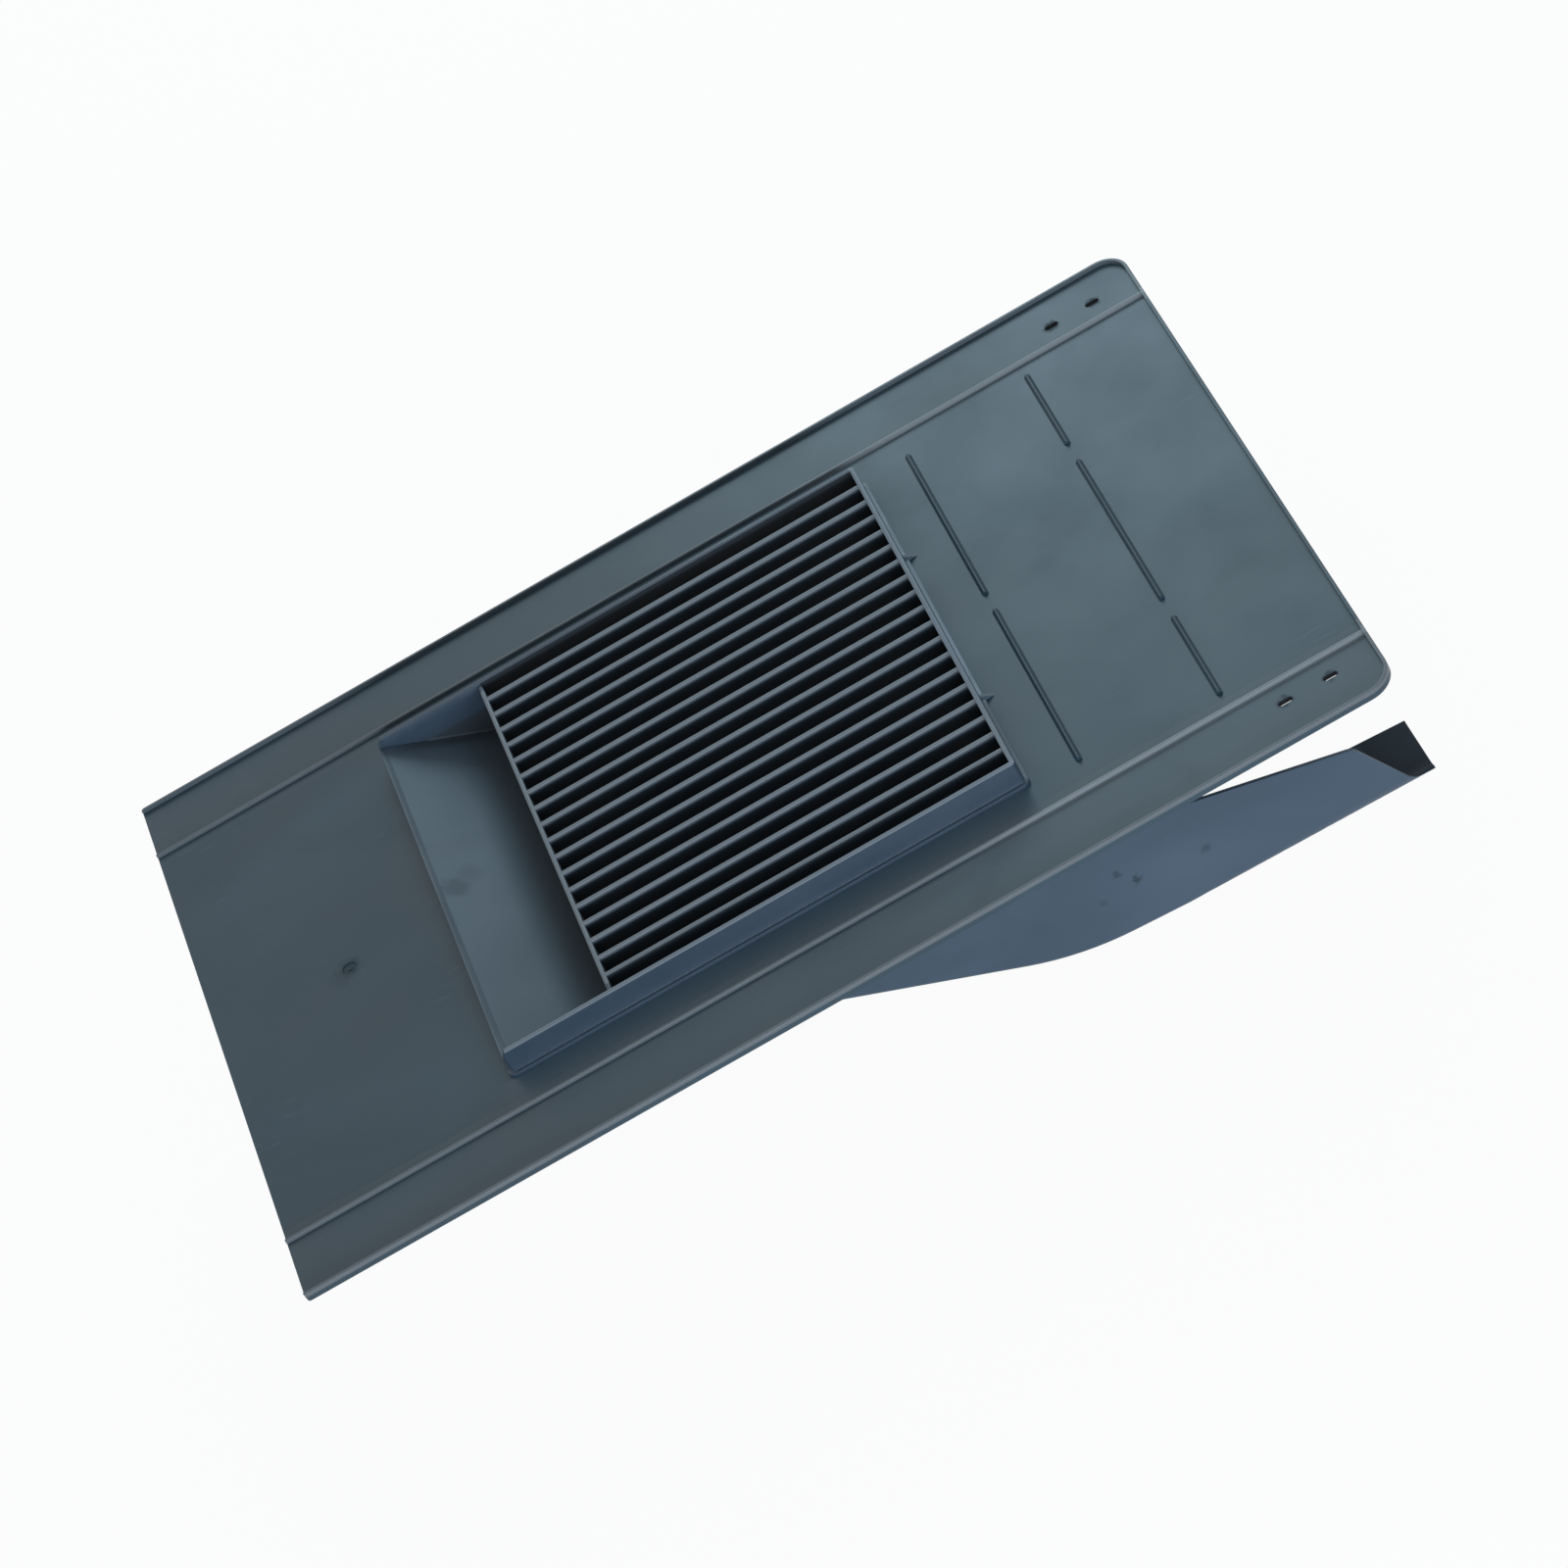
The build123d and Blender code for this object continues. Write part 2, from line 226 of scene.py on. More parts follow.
def mouldedPlastic(finish):
    material = bpy.data.materials.new(finish["name"])
    material.use_nodes = True
    tree = material.node_tree
    tree.nodes.clear()
    rowStep = 250  # between rows of nodes
    here = addNode(tree, "ShaderNodeTexCoord", (-2600, 0))
    place = here.outputs["Object"]

    # flow bands, longer up the slope than across it
    flowPlace = addNode(tree, "ShaderNodeMapping", (-1600, 500),
                        values={"Scale": (finish["flowStretch"], 1, 1)}, links={"Vector": place})
    flow = addNode(tree, "ShaderNodeTexNoise", (-1400, 500),
                   values={"Scale": perMetre(finish["flowSize"]), "Detail": 5, "Distortion": 0.7},
                   links={"Vector": flowPlace.outputs[0]})
    flowShare = addNode(tree, "ShaderNodeMapRange", (-1200, 500),
                        values=between(finish["flowLimits"]), links={"Value": flow.outputs[0]})
    colour = addNode(tree, "ShaderNodeMix", (-1000, 500), {"data_type": "RGBA"},
                     {6: linearColour(finish["body"]), 7: linearColour(finish["flow"])},
                     {0: flowShare.outputs[0]})

    # scuffs, thin and long, only where a coarser pattern lets them through
    scuffPlace = addNode(tree, "ShaderNodeMapping", (-1600, 200),
                         values={"Rotation": (0, 0, finish["scuffTurn"]),
                                 "Scale": (finish["scuffStretch"], 1, 1)}, links={"Vector": place})
    scuff = addNode(tree, "ShaderNodeTexNoise", (-1400, 200),
                    values={"Scale": perMetre(finish["scuffWidth"]), "Detail": 6,
                            "Roughness": 0.65},
                    links={"Vector": scuffPlace.outputs[0]})
    scuffLine = addNode(tree, "ShaderNodeMapRange", (-1200, 200),
                        values=between(finish["scuffLimits"]), links={"Value": scuff.outputs[0]})
    rubbed = addNode(tree, "ShaderNodeTexNoise", (-1400, 0),
                     values={"Scale": perMetre(finish["rubbedSize"]), "Detail": 3},
                     links={"Vector": place})
    rubbedArea = addNode(tree, "ShaderNodeMapRange", (-1200, 0),
                         values=between(finish["rubbedLimits"], finish["scuffAmount"]),
                         links={"Value": rubbed.outputs[0]})
    scuffShare = addNode(tree, "ShaderNodeMath", (-1000, 150), {"operation": "MULTIPLY"},
                         links={0: scuffLine.outputs[0], 1: rubbedArea.outputs[0]})
    colour = addNode(tree, "ShaderNodeMix", (-800, 450), {"data_type": "RGBA"},
                     {7: linearColour(finish["scuff"])},
                     {0: scuffShare.outputs[0], 6: colour.outputs[2]})

    # smudges, soft and darker
    smudge = addNode(tree, "ShaderNodeTexNoise", (-1400, -250),
                     values={"Scale": perMetre(finish["smudgeSize"]), "Detail": 6,
                             "Roughness": 0.6, "Distortion": 1.2}, links={"Vector": place})
    smudgeShare = addNode(tree, "ShaderNodeMapRange", (-1200, -250),
                          values=between(finish["smudgeLimits"], finish["smudgeAmount"]),
                          links={"Value": smudge.outputs[0]})
    colour = addNode(tree, "ShaderNodeMix", (-600, 400), {"data_type": "RGBA"},
                     {7: linearColour(finish["smudge"])},
                     {0: smudgeShare.outputs[0], 6: colour.outputs[2]})

    # specks at their own places, with frayed edges, where the sheen is duller as well
    dull = addNode(tree, "ShaderNodeMath", (-1400, -650), {"operation": "MULTIPLY"},
                   {1: finish["smudgeDull"]}, {0: smudgeShare.outputs[0]})
    ragged = addNode(tree, "ShaderNodeTexNoise", (-2200, -700),
                     values={"Scale": perMetre(finish["raggedSize"]), "Detail": 3},
                     links={"Vector": place})
    shiftOut = addNode(tree, "ShaderNodeVectorMath", (-2000, -700), {"operation": "SUBTRACT"},
                       {1: (0.5, 0.5, 0.5)}, {0: ragged.outputs["Color"]})
    shifted = addNode(tree, "ShaderNodeVectorMath", (-1800, -700), {"operation": "MULTIPLY_ADD"},
                      {1: (finish["raggedEdge"] * mm,) * 3}, {0: shiftOut.outputs[0], 2: place})
    for i, (spot, radius, amount) in enumerate(finish["specks"]):
        level = -700 - rowStep * i
        away = addNode(tree, "ShaderNodeVectorMath", (-1400, level), {"operation": "DISTANCE"},
                       {1: [c * mm for c in spot]}, {0: shifted.outputs[0]})
        speck = addNode(tree, "ShaderNodeMapRange", (-1200, level), {"interpolation_type": "SMOOTHSTEP"},
                        {"From Min": radius * finish["speckCore"] * mm, "From Max": radius * mm,
                         "To Min": amount, "To Max": 0}, {"Value": away.outputs["Value"]})
        colour = addNode(tree, "ShaderNodeMix", (-500 + 60 * i, 350), {"data_type": "RGBA"},
                         {7: linearColour(finish["speckTone"])},
                         {0: speck.outputs[0], 6: colour.outputs[2]})
        dull = addNode(tree, "ShaderNodeMath", (-900, level), {"operation": "MAXIMUM"},
                       links={0: dull.outputs[0], 1: speck.outputs[0]})

    # zones of painted light and shade, each with a tone and a dullness of its own
    normalParts = addNode(tree, "ShaderNodeSeparateXYZ", (-2400, 800), links={0: here.outputs["Normal"]})
    upward = addNode(tree, "ShaderNodeMapRange", (-2200, 800), values=between(finish["undersideLimits"]),
                     links={"Value": normalParts.outputs["Z"]})
    for i, zone in enumerate(finish["zones"]):
        level = 1000 + rowStep * i
        share = zoneShare(tree, place, upward.outputs[0], zone, level)
        colour = addNode(tree, "ShaderNodeMix", (-900, level), {"data_type": "RGBA"},
                         {7: linearColour(zone["tone"])}, {0: share, 6: colour.outputs[2]})
        dullShare = addNode(tree, "ShaderNodeMath", (-900, level - 120), {"operation": "MULTIPLY"},
                            {1: zone["dull"]}, {0: share})
        dull = addNode(tree, "ShaderNodeMath", (-700, level - 120), {"operation": "MAXIMUM"},
                       links={0: dull.outputs[0], 1: dullShare.outputs[0]})

    # sheen and relief
    roughness = addNode(tree, "ShaderNodeMapRange", (-600, 0),
                        values=between(finish["roughLimits"], finish["roughHigh"], finish["roughLow"]),
                        links={"Value": rubbed.outputs[0]})
    grain = addNode(tree, "ShaderNodeTexNoise", (-1400, -450),
                    values={"Scale": perMetre(finish["grainSize"]), "Detail": 2},
                    links={"Vector": place})
    wave = addNode(tree, "ShaderNodeTexNoise", (-1400, -600),
                   values={"Scale": perMetre(finish["waveSize"]), "Detail": 1},
                   links={"Vector": place})
    waveBump = addNode(tree, "ShaderNodeBump", (-800, -500),
                       values={"Strength": 1.0, "Distance": finish["waveDepth"] * mm},
                       links={"Height": wave.outputs[0]})
    grainBump = addNode(tree, "ShaderNodeBump", (-600, -400),
                        values={"Strength": 1.0, "Distance": finish["grainDepth"] * mm},
                        links={"Height": grain.outputs[0], "Normal": waveBump.outputs[0]})
    duller = addNode(tree, "ShaderNodeMapRange", (-400, -100), values={"To Max": 1.0},
                     links={"Value": dull.outputs[0], "To Min": roughness.outputs[0]})
    shader = addNode(tree, "ShaderNodeBsdfPrincipled", (-200, 200), values={"IOR": finish["ior"]},
                     links={"Base Color": colour.outputs[2], "Roughness": duller.outputs[0],
                            "Normal": grainBump.outputs[0]})
    addNode(tree, "ShaderNodeOutputMaterial", (100, 200), links={"Surface": shader.outputs[0]})
    return material


# The grille's frame and bars, in mm
grille = {
    "footWidth": 2.0,
    "footHeight": 2.0,
    "wall": 2.5,
    "tailWall": 2.8,  # thicker by the play between frame and ramp, which the photo doesn't show
    "corner": 2.0,
    "cornerSteps": 5,
    "lipHeight": 11.7,
    "rake": 3.0,
    "lipFall": 0.5,  # fall of the tail wall's top per mm, in line with the ramp
    "webLength": 7.0,
    "webHeight": 4.0,
    "webWidth": 1.8,
    "webOffset": 60.5,
    "edgeRound": 0.45,
    "edgeSteps": 2,
    "edgeAngle": 40,  # degrees, and only sharper edges are rounded
    "baseMargin": 0.1,  # height over the base within which no edge is rounded
    "barCount": 18,
    "barWidth": 2.5,
    "barFoot": 1.9,
    "barDepth": 11.0,
    "barDrop": 1.3,
    "barRound": 0.8,
    "barRoundSteps": 4,
    "barsStart": 62.2,  # from the frame's tail face
    "barLean": 0.5,  # degrees, the most that a bar leans
    "barShift": 0.12,
    "mergeGap": 0.01,
    "smoothAngle": 35,  # degrees, and sharper edges stay crisp
    "seed": 4,
}
frameTail = grilleLow.x + grille["footWidth"] * mm
frameHead = grilleHigh.x - grille["webLength"] * mm
frameHalf = grilleHigh.y - grille["footWidth"] * mm
frameBase = grilleLow.z
frameTop = grilleHigh.z
innerHalf = frameHalf - grille["wall"] * mm

# the same places in mm, for the zones
tailFace = frameTail / mm
headFace = frameHead / mm
barsFrom = tailFace + grille["barsStart"]
barsTo = headFace - grille["wall"]
barsTop = frameTop / mm - grille["barDrop"]
sideFace = innerHalf / mm

# The same plastic in the grille, with the tray's sheen and finer scuffs. The bars' tops carry a painted
# highlight, and painted shade darkens the slots between the bars.
grilleFinish = trayFinish | {
    "name": "polypropyleneSatinGrille",
    # bluer and paler than the tray's body: painted light for the walls that face the bluish fill
    "body": "#364756",
    "flow": "#31424F",
    "scuff": "#50636F",
    "scuffWidth": 2.25,
    "scuffAmount": 0.35,
    "rubbedSize": 36,
    "smudgeAmount": 0.2,
    "roughLow": 0.36,
    "roughHigh": 0.48,
    "specks": [],
    "zones": [
        # painted shade between the bars
        paintedShadingZone((barsFrom + 1, -sideFace - 0.1, -10), (barsTo + 1, sideFace + 0.1, barsTop - 5.5),
                 (1, 0.3, 3.5), "#050B11", 0.95, dull=0.5),
        # painted shade on the inner face of the far wall
        paintedShadingZone((barsFrom + 1, sideFace - 1, -10), (barsTo + 1, sideFace + 0.1, barsTop + 0.6),
                 (1, 0.3, 0.5), "#0B1116", 0.85, dull=0.85),
        # painted highlight on the tops of the bars
        paintedShadingZone((barsFrom - 2, 6 - sideFace, barsTop - 0.8), (barsTo, sideFace - 6, barsTop + 1),
                 (0.5, 1, 2.4), "#8E9598", 0.55),
        # painted shade on the lip of the tail wall, toning down its bright edge
        paintedShadingZone((tailFace - 3, -sideFace, 5), (tailFace + 3, sideFace, 14),
                 (0.3, 0.3, 1), "#35434C", 0.6, dull=0.6),
        # painted light on the webs' shaded faces
        paintedShadingZone((headFace + 0.5, -64, -1), (headFace + 8, 64, 8), (0.5, 1, 1), "#6E808C", 0.6),
        # painted highlight on the tops of the head wall and of the near wall
        paintedShadingZone((barsTo + 0.3, -sideFace - 3, barsTop + 1), (barsTo + 5, sideFace + 3, barsTop + 2),
                 (1, 0.3, 0.4), "#87929A", 0.5),
        paintedShadingZone((tailFace, -sideFace - 3, barsTop + 1), (headFace, -sideFace, barsTop + 2),
                 (1, 0.3, 0.4), "#87929A", 0.7),
    ],
}


def outlineSolid(name, outline, low, high, plane):
    # closed solid from an outline; plane XZ is drawn out along Y, plane XY along Z
    shape = bmesh.new()
    rings = []
    for level in (low, high):
        ring = [shape.verts.new((a, level, b) if plane == "XZ" else (a, b, level)) for a, b in outline]
        rings.append(ring)
    count = len(outline)
    for ring in rings:
        shape.faces.new(ring)
    for i in range(count):
        shape.faces.new((rings[0][i], rings[0][(i + 1) % count], rings[1][(i + 1) % count], rings[1][i]))
    bmesh.ops.recalc_face_normals(shape, faces=shape.faces)
    mesh = bpy.data.meshes.new(name)
    shape.to_mesh(mesh)
    shape.free()
    solid = bpy.data.objects.new(name, mesh)
    scene.collection.objects.link(solid)
    return solid


def plainBox(x0, x1, half):
    # plan outline with square corners
    return [(x0, -half), (x1, -half), (x1, half), (x0, half)]


def roundedPlan(x0, x1, half, radius):
    # plan outline with rounded corners
    steps = grille["cornerSteps"]
    points = []
    for cx, cy, start in ((x1 - radius, half - radius, 0), (x0 + radius, half - radius, 90),
                          (x0 + radius, -half + radius, 180), (x1 - radius, -half + radius, 270)):
        for i in range(steps + 1):
            turn = math.radians(start + 90 * i / steps)
            points.append((cx + radius * math.cos(turn), cy + radius * math.sin(turn)))
    return points


def settle(piece):
    # evaluated mesh in place of the modifiers
    graph = bpy.context.evaluated_depsgraph_get()
    mesh = bpy.data.meshes.new_from_object(piece.evaluated_get(graph))
    piece.modifiers.clear()
    piece.data = mesh
    return piece


def combine(body, tool, operation):
    # boolean of two solids, which uses the tool up
    step = body.modifiers.new(operation.lower(), "BOOLEAN")
    step.operation = operation
    step.solver = "EXACT"
    step.object = tool
    settle(body)
    bpy.data.objects.remove(tool)


def grilleFrame():
    wall = grille["wall"] * mm
    foot = grille["footWidth"] * mm
    lip = frameBase + grille["lipHeight"] * mm
    rake = grille["rake"] * mm
    webRoot = frameHead - wall / 2
    webHead = frameHead + grille["webLength"] * mm
    webTop = frameBase + grille["webHeight"] * mm
    webHalf = grille["webWidth"] * mm / 2
    corner = grille["corner"] * mm
    high = 2 * frameTop  # clear of the frame, for the cuts
    body = outlineSolid("grilleWalls", roundedPlan(frameTail, frameHead, frameHalf, corner),
                        frameBase, frameTop, "XY")
    bead = outlineSolid("footBead", roundedPlan(frameTail - foot, frameHead + foot, frameHalf + foot,
                                                corner + foot),
                        frameBase, frameBase + grille["footHeight"] * mm, "XY")
    combine(body, bead, "UNION")
    for middle in (-grille["webOffset"] * mm, grille["webOffset"] * mm):
        web = outlineSolid("web", [(webRoot, frameBase), (webHead, frameBase), (frameHead, webTop),
                                   (webRoot, webTop)], middle - webHalf, middle + webHalf, "XZ")
        combine(body, web, "UNION")
    wellTail = frameTail + grille["tailWall"] * mm
    well = outlineSolid("well", plainBox(wellTail, frameHead - wall, innerHalf), -high, high, "XY")
    combine(body, well, "DIFFERENCE")
    front = outlineSolid("rake", [(frameTail - rake, lip), (frameTail, lip), (frameTail + rake, frameTop),
                                  (frameTail + rake, high), (frameTail - rake, high)],
                         -2 * frameHalf, 2 * frameHalf, "XZ")
    combine(body, front, "DIFFERENCE")
    slantEnd = frameTail + 2 * wall
    slant = outlineSolid("lipSlant", [(frameTail, lip), (slantEnd, lip - 2 * wall * grille["lipFall"]),
                                      (slantEnd, high), (frameTail, high)],
                         -innerHalf, innerHalf, "XZ")
    combine(body, slant, "DIFFERENCE")

    # sharp edges above the base are rounded, and the base stays flat on the tray
    shape = bmesh.new()
    shape.from_mesh(body.data)
    weight = shape.edges.layers.float.new("bevel_weight_edge")
    overBase = frameBase + grille["baseMargin"] * mm
    sharp = math.radians(grille["edgeAngle"])
    for edge in shape.edges:
        raised = all(end.co.z > overBase for end in edge.verts)
        if raised and len(edge.link_faces) == 2 and edge.calc_face_angle() > sharp:
            edge[weight] = 1.0
    shape.to_mesh(body.data)
    shape.free()
    soften = body.modifiers.new("edges", "BEVEL")
    soften.width = grille["edgeRound"] * mm
    soften.segments = grille["edgeSteps"]
    soften.limit_method = "WEIGHT"
    return settle(body)


def louvreTree(material):
    # bars in a row behind a front bar, added to the frame that comes in
    tree = bpy.data.node_groups.new("louvreRow", "GeometryNodeTree")
    tree.interface.new_socket("Frame", in_out="INPUT", socket_type="NodeSocketGeometry")
    for name, kind in (("Bar Count", "Int"), ("Bar Width", "Float"), ("Bar Foot", "Float"),
                       ("Bar Depth", "Float"), ("Bar Round", "Float"), ("Bar Top", "Float"),
                       ("Front X", "Float"), ("Head X", "Float"), ("Half Inside", "Float"),
                       ("Wall Root", "Float"), ("Lean", "Float"), ("Shift", "Float"), ("Seed", "Int")):
        tree.interface.new_socket(name, in_out="INPUT", socket_type="NodeSocket" + kind)
    tree.interface.new_socket("Grille", in_out="OUTPUT", socket_type="NodeSocketGeometry")
    given = addNode(tree, "NodeGroupInput", (-1800, 0)).outputs

    # section of a bar: wide at the top, with its two upper corners rounded
    section = addNode(tree, "GeometryNodeCurvePrimitiveQuadrilateral", (-1500, 400), {"mode": "TRAPEZOID"},
                      {"Offset": 0},
                      {"Height": given["Bar Depth"], "Bottom Width": given["Bar Foot"],
                       "Top Width": given["Bar Width"]})
    spot = addNode(tree, "GeometryNodeInputPosition", (-1500, 650))
    spotParts = addNode(tree, "ShaderNodeSeparateXYZ", (-1350, 650), links={0: spot.outputs[0]})
    isTop = addNode(tree, "ShaderNodeMath", (-1200, 650), {"operation": "GREATER_THAN"}, {1: 0.0},
                    {0: spotParts.outputs["Y"]})
    cornerRound = addNode(tree, "ShaderNodeMath", (-1050, 650), {"operation": "MULTIPLY"},
                          links={0: isTop.outputs[0], 1: given["Bar Round"]})
    rounded = addNode(tree, "GeometryNodeFilletCurve", (-900, 450), {"mode": "POLY"},
                      {"Count": grille["barRoundSteps"]},
                      {"Curve": section.outputs[0], "Radius": cornerRound.outputs[0]})
    halfDepth = addNode(tree, "ShaderNodeMath", (-1050, 250), {"operation": "MULTIPLY"}, {1: 0.5},
                        {0: given["Bar Depth"]})
    dropBy = addNode(tree, "ShaderNodeCombineXYZ", (-900, 250), links={"Y": halfDepth.outputs[0]})
    hung = addNode(tree, "GeometryNodeTransform", (-700, 400), values={"Rotation": (0, 0, math.pi)},
                   links={"Geometry": rounded.outputs[0], "Translation": dropBy.outputs[0]})

    # one bar along X, and the front bar along Y
    barStart = addNode(tree, "ShaderNodeCombineXYZ", (-900, 100), links={"X": given["Front X"]})
    barEnd = addNode(tree, "ShaderNodeCombineXYZ", (-900, -50), links={"X": given["Head X"]})
    barLine = addNode(tree, "GeometryNodeCurvePrimitiveLine", (-700, 100),
                      links={"Start": barStart.outputs[0], "End": barEnd.outputs[0]})
    barUp = addNode(tree, "GeometryNodeSetCurveNormal", (-550, 100), {"mode": "Z_UP"},
                    links={"Curve": barLine.outputs[0]})
    bar = addNode(tree, "GeometryNodeCurveToMesh", (-400, 300), values={"Fill Caps": True},
                  links={"Curve": barUp.outputs[0], "Profile Curve": hung.outputs[0]})
    reach = addNode(tree, "ShaderNodeMath", (-1050, -200), {"operation": "ADD"},
                    links={0: given["Half Inside"], 1: given["Wall Root"]})
    reachBack = addNode(tree, "ShaderNodeMath", (-900, -350), {"operation": "MULTIPLY"}, {1: -1.0},
                        {0: reach.outputs[0]})
    frontStart = addNode(tree, "ShaderNodeCombineXYZ", (-700, -200),
                         links={"X": given["Front X"], "Y": reachBack.outputs[0], "Z": given["Bar Top"]})
    frontEnd = addNode(tree, "ShaderNodeCombineXYZ", (-700, -350),
                       links={"X": given["Front X"], "Y": reach.outputs[0], "Z": given["Bar Top"]})
    frontLine = addNode(tree, "GeometryNodeCurvePrimitiveLine", (-550, -250),
                        links={"Start": frontStart.outputs[0], "End": frontEnd.outputs[0]})
    frontUp = addNode(tree, "GeometryNodeSetCurveNormal", (-400, -250), {"mode": "Z_UP"},
                      links={"Curve": frontLine.outputs[0]})
    front = addNode(tree, "GeometryNodeCurveToMesh", (-250, -150), values={"Fill Caps": True},
                    links={"Curve": frontUp.outputs[0], "Profile Curve": hung.outputs[0]})

    # equal slots, one more than the bars, share the width that the bars leave free
    wide = addNode(tree, "ShaderNodeMath", (-1500, -500), {"operation": "MULTIPLY"}, {1: 2.0},
                   {0: given["Half Inside"]})
    filled = addNode(tree, "ShaderNodeMath", (-1500, -650), {"operation": "MULTIPLY"},
                     links={0: given["Bar Count"], 1: given["Bar Width"]})
    free = addNode(tree, "ShaderNodeMath", (-1350, -550), {"operation": "SUBTRACT"},
                   links={0: wide.outputs[0], 1: filled.outputs[0]})
    slots = addNode(tree, "ShaderNodeMath", (-1350, -700), {"operation": "ADD"}, {1: 1.0},
                    {0: given["Bar Count"]})
    slot = addNode(tree, "ShaderNodeMath", (-1200, -600), {"operation": "DIVIDE"},
                   links={0: free.outputs[0], 1: slots.outputs[0]})
    pitch = addNode(tree, "ShaderNodeMath", (-1050, -600), {"operation": "ADD"},
                    links={0: slot.outputs[0], 1: given["Bar Width"]})
    firstIn = addNode(tree, "ShaderNodeMath", (-1050, -750), {"operation": "SUBTRACT"},
                      links={0: pitch.outputs[0], 1: given["Half Inside"]})
    halfBar = addNode(tree, "ShaderNodeMath", (-1200, -850), {"operation": "MULTIPLY"}, {1: 0.5},
                      {0: given["Bar Width"]})
    first = addNode(tree, "ShaderNodeMath", (-900, -750), {"operation": "SUBTRACT"},
                    links={0: firstIn.outputs[0], 1: halfBar.outputs[0]})
    rowStart = addNode(tree, "ShaderNodeCombineXYZ", (-700, -650),
                       links={"Y": first.outputs[0], "Z": given["Bar Top"]})
    rowStep = addNode(tree, "ShaderNodeCombineXYZ", (-700, -800), links={"Y": pitch.outputs[0]})
    row = addNode(tree, "GeometryNodeMeshLine", (-500, -650), {"mode": "OFFSET"},
                  links={"Count": given["Bar Count"], "Start Location": rowStart.outputs[0],
                         "Offset": rowStep.outputs[0]})

    # each bar leans and shifts a little, as moulded bars do
    leanBack = addNode(tree, "ShaderNodeMath", (-700, -1000), {"operation": "MULTIPLY"}, {1: -1.0},
                       {0: given["Lean"]})
    leanLow = addNode(tree, "ShaderNodeCombineXYZ", (-500, -950), links={"X": leanBack.outputs[0]})
    leanHigh = addNode(tree, "ShaderNodeCombineXYZ", (-500, -1100), links={"X": given["Lean"]})
    lean = addNode(tree, "FunctionNodeRandomValue", (-300, -950), {"data_type": "FLOAT_VECTOR"},
                   links={0: leanLow.outputs[0], 1: leanHigh.outputs[0], "Seed": given["Seed"]})
    bars = addNode(tree, "GeometryNodeInstanceOnPoints", (-50, -400),
                   links={"Points": row.outputs[0], "Instance": bar.outputs[0],
                          "Rotation": lean.outputs[0]})
    shiftBack = addNode(tree, "ShaderNodeMath", (-700, -1250), {"operation": "MULTIPLY"}, {1: -1.0},
                        {0: given["Shift"]})
    shiftLow = addNode(tree, "ShaderNodeCombineXYZ", (-500, -1250), links={"Y": shiftBack.outputs[0]})
    shiftHigh = addNode(tree, "ShaderNodeCombineXYZ", (-500, -1400), links={"Y": given["Shift"]})
    shift = addNode(tree, "FunctionNodeRandomValue", (-300, -1250), {"data_type": "FLOAT_VECTOR"},
                    links={0: shiftLow.outputs[0], 1: shiftHigh.outputs[0], "Seed": given["Seed"]})
    shifted = addNode(tree, "GeometryNodeTranslateInstances", (150, -400),
                      links={"Instances": bars.outputs[0], "Translation": shift.outputs[0]})

    joined = addNode(tree, "GeometryNodeJoinGeometry", (350, 0), links={0: given["Frame"]})
    tree.links.new(front.outputs[0], joined.inputs[0])
    tree.links.new(shifted.outputs[0], joined.inputs[0])
    real = addNode(tree, "GeometryNodeRealizeInstances", (550, 0), links={0: joined.outputs[0]})
    finished = addNode(tree, "GeometryNodeSetMaterial", (750, 0), {}, {"Material": material},
                       {"Geometry": real.outputs[0]})
    addNode(tree, "NodeGroupOutput", (950, 0), links={0: finished.outputs[0]})
    return tree


def buildGrille(material):
    piece = grilleFrame()
    piece.name = "louvreGrille"
    tree = louvreTree(material)
    values = {
        "Bar Count": grille["barCount"],
        "Bar Width": grille["barWidth"] * mm,
        "Bar Foot": grille["barFoot"] * mm,
        "Bar Depth": grille["barDepth"] * mm,
        "Bar Round": grille["barRound"] * mm,
        "Bar Top": frameTop - grille["barDrop"] * mm,
        "Front X": frameTail + grille["barsStart"] * mm,
        "Head X": frameHead - grille["wall"] * mm / 2,
        "Half Inside": innerHalf,
        "Wall Root": grille["wall"] * mm / 2,
        "Lean": math.radians(grille["barLean"]),
        "Shift": grille["barShift"] * mm,
        "Seed": grille["seed"],
    }
    rule = piece.modifiers.new("louvreRow", "NODES")
    rule.node_group = tree
    for item in tree.interface.items_tree:
        if item.in_out == "INPUT" and item.name in values:
            rule[item.identifier] = values[item.name]
    settle(piece)
    shape = bmesh.new()
    shape.from_mesh(piece.data)
    bmesh.ops.remove_doubles(shape, verts=shape.verts, dist=grille["mergeGap"] * mm)
    bmesh.ops.recalc_face_normals(shape, faces=shape.faces)
    shape.to_mesh(piece.data)
    shape.free()
    piece.data.shade_smooth()
    piece.data.set_sharp_from_angle(angle=math.radians(grille["smoothAngle"]))
    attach(piece, "root")
    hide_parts("louvre_grille")
    return piece


def paint(node, material):
    # one material on the whole of a CAD body
    node.data.materials.clear()
    node.data.materials.append(material)
    for slot in node.material_slots:
        slot.material = material


paint(tray, mouldedPlastic(trayFinish))
paint(scoop, mouldedPlastic(scoopFinish))
print("tray and scoop finished")
louvreGrille = buildGrille(mouldedPlastic(grilleFinish))
print("grille built,", len(louvreGrille.data.polygons), "faces")


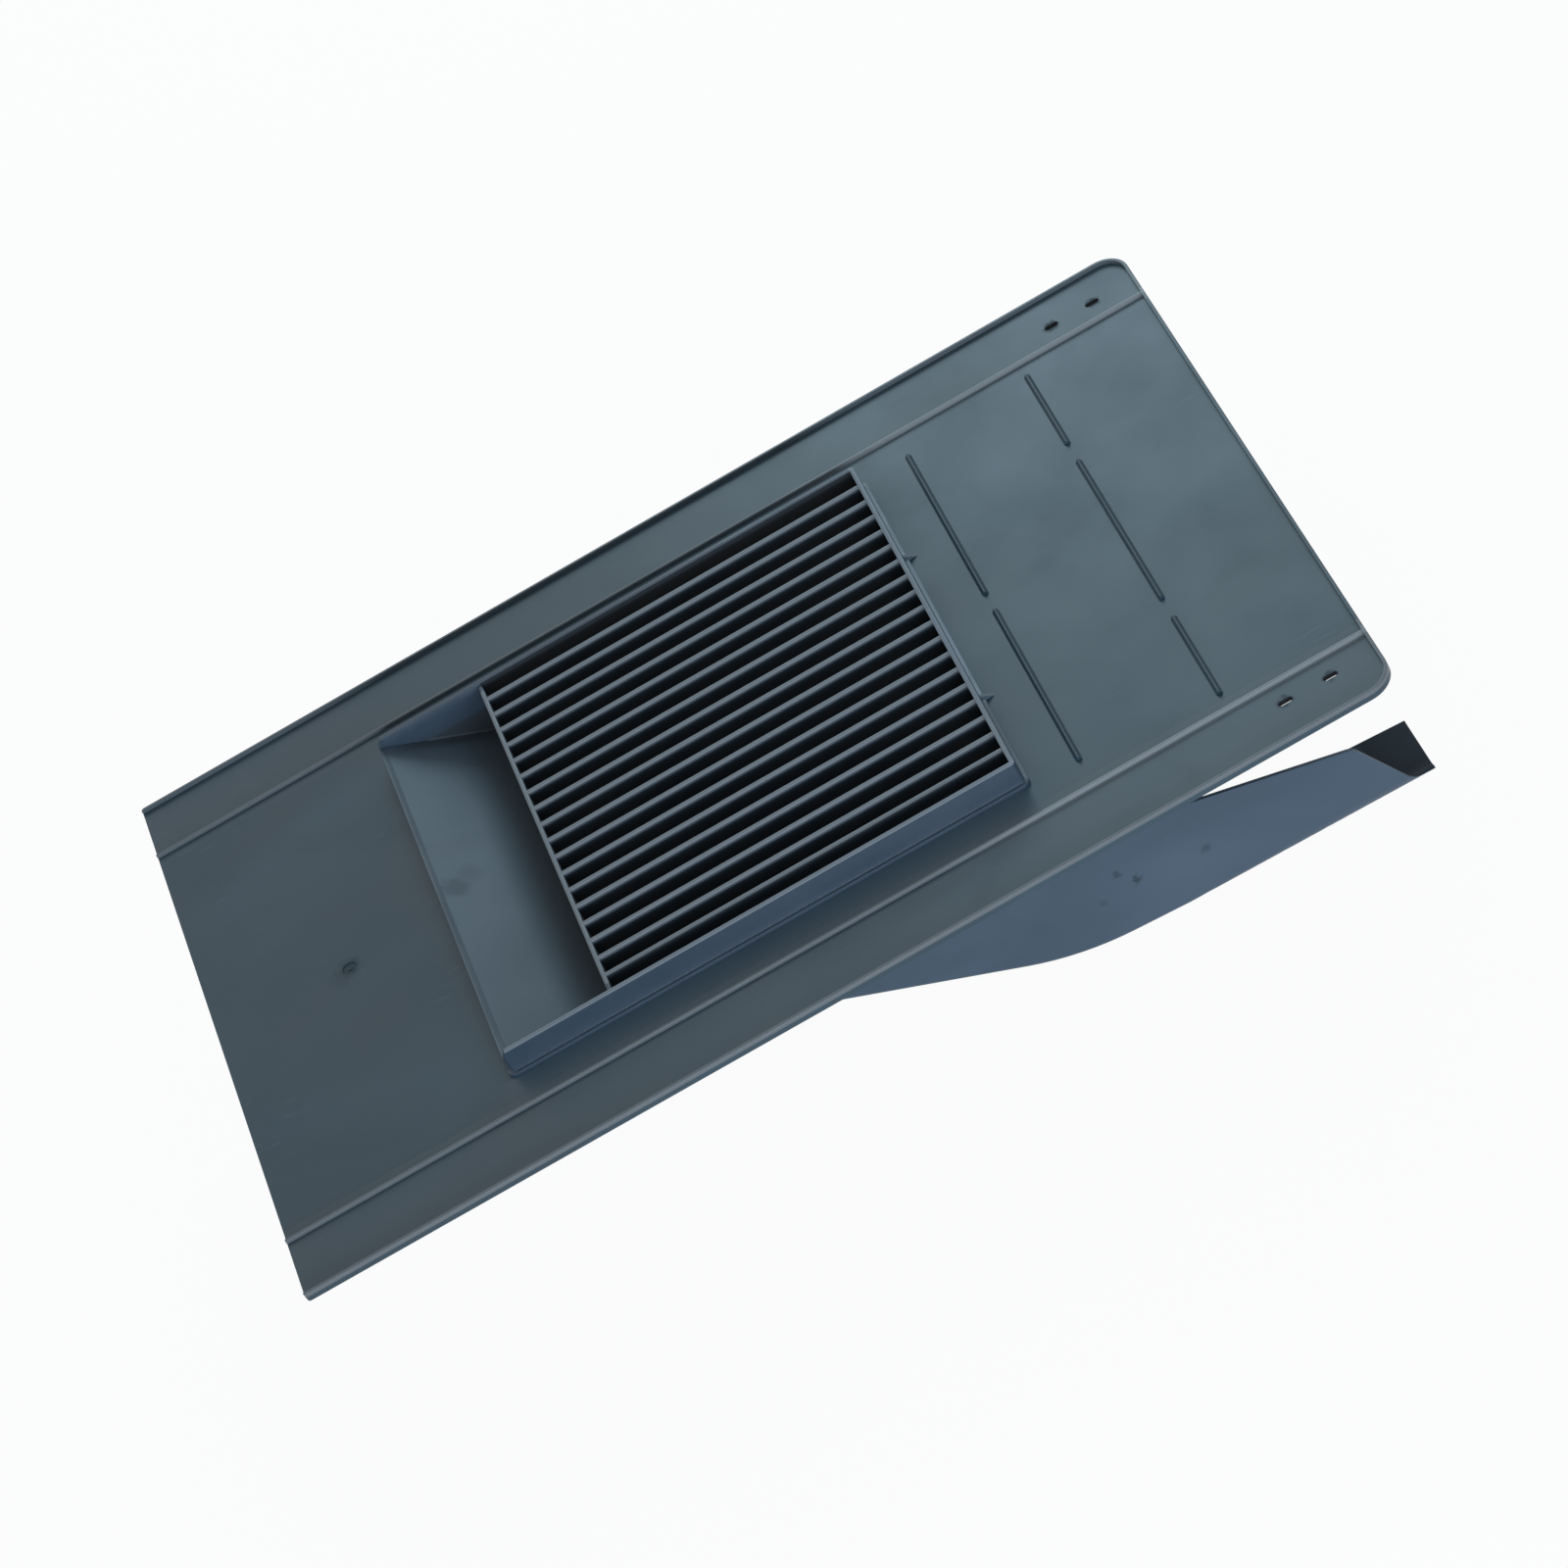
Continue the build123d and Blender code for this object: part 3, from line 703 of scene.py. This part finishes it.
# Plain pale floor under the arms, white to the camera apart from the soft shadow, a key lamp
# behind the far side and a low fill on the camera's side. Sizes here are in metres.
studio = {
    "floorSize": 24.0,
    "floorThickness": 0.005,
    "floorTone": "#F4F4F4",
    "floorWhite": 0.95,  # share of the floor that shows plain white to the camera
    "plainWhite": "#FFFFFF",
    "skyColour": "#E4EEF8",
    "skyStrength": 0.39,
    "keyPlace": (0.20, 1.68, 1.00),
    "keyAim": (-0.10, 0.0, 0.0),
    "keySize": (0.9, 0.8),
    "keyPower": 11.0,
    "keyColour": "#C6EDFF",
    "fillPlace": (-0.10, -2.20, 0.36),  # low, on the camera's side
    "fillAim": (-0.20, 0.0, -0.02),
    "fillSize": (2.0, 0.4),
    "fillPower": 33.0,
    "fillColour": "#E6F0FF",
}


def seenDirectly(tree):
    # 1 for the rays that should meet plain white: camera, glossy and transmission
    path = addNode(tree, "ShaderNodeLightPath", (-800, 300))
    seen = path.outputs["Is Camera Ray"]
    for i, ray in enumerate(("Is Glossy Ray", "Is Transmission Ray")):
        either = addNode(tree, "ShaderNodeMath", (-600 + 150 * i, 300), {"operation": "MAXIMUM"},
                         links={0: seen, 1: path.outputs[ray]})
        seen = either.outputs[0]
    return seen


def floorMaterial():
    # matt board that reads white to the camera, with a share left for the shadow
    material = bpy.data.materials.new("matteFloorBoard")
    material.use_nodes = True
    tree = material.node_tree
    tree.nodes.clear()
    diffuse = addNode(tree, "ShaderNodeBsdfDiffuse", (-300, 0),
                      values={"Color": linearColour(studio["floorTone"])})
    white = addNode(tree, "ShaderNodeEmission", (-300, -150),
                    values={"Color": linearColour(studio["plainWhite"]), "Strength": 1.0})
    share = addNode(tree, "ShaderNodeMath", (-300, 200), {"operation": "MULTIPLY"},
                    {1: studio["floorWhite"]}, {0: seenDirectly(tree)})
    both = addNode(tree, "ShaderNodeMixShader", (0, 0),
                   links={0: share.outputs[0], 1: diffuse.outputs[0], 2: white.outputs[0]})
    addNode(tree, "ShaderNodeOutputMaterial", (200, 0), links={"Surface": both.outputs[0]})
    return material


def buildStudio():
    half = studio["floorSize"] / 2
    level = cadBounds[0][2]
    floor = outlineSolid("floor", plainBox(-half, half, half), level - studio["floorThickness"],
                         level, "XY")
    floor.data.materials.append(floorMaterial())

    world = bpy.data.worlds.new("studioWorld")
    scene.world = world
    world.use_nodes = True
    tree = world.node_tree
    tree.nodes.clear()
    sky = addNode(tree, "ShaderNodeBackground", (-200, 100),
                  values={"Color": linearColour(studio["skyColour"]), "Strength": studio["skyStrength"]})
    white = addNode(tree, "ShaderNodeBackground", (-200, -100),
                    values={"Color": linearColour(studio["plainWhite"]), "Strength": 1.0})
    both = addNode(tree, "ShaderNodeMixShader", (0, 0),
                   links={0: seenDirectly(tree), 1: sky.outputs[0], 2: white.outputs[0]})
    addNode(tree, "ShaderNodeOutputWorld", (200, 0), links={"Surface": both.outputs[0]})

    for lamp in ("key", "fill"):
        light = bpy.data.lights.new(lamp + "Softbox", "AREA")
        light.shape = "RECTANGLE"
        light.size, light.size_y = studio[lamp + "Size"]
        light.energy = studio[lamp + "Power"]
        light.color = linearColour(studio[lamp + "Colour"])[:3]
        stand = bpy.data.objects.new(lamp + "Softbox", light)
        stand.location = studio[lamp + "Place"]
        towards = Vector(studio[lamp + "Aim"]) - stand.location
        stand.rotation_euler = towards.to_track_quat("-Z", "Y").to_euler()
        scene.collection.objects.link(stand)


# The photograph's view, solved from the four corners of the tray's rim. The place is in metres.
view = {
    "place": (-0.10395, -1.93552, 1.71150),
    "turn": (43.15067, 23.54950, -18.81282),  # degrees
    "lens": 117.69,
    "sensor": 36.0,
}


def buildCamera():
    lens = bpy.data.cameras.new("photoView")
    lens.lens = view["lens"]
    lens.sensor_width = view["sensor"]
    camera = bpy.data.objects.new("photoView", lens)
    camera.location = view["place"]
    camera.rotation_euler = [math.radians(a) for a in view["turn"]]
    scene.collection.objects.link(camera)
    scene.camera = camera


buildStudio()
buildCamera()
scene.view_settings.view_transform = "Standard"
print("studio and camera ready")
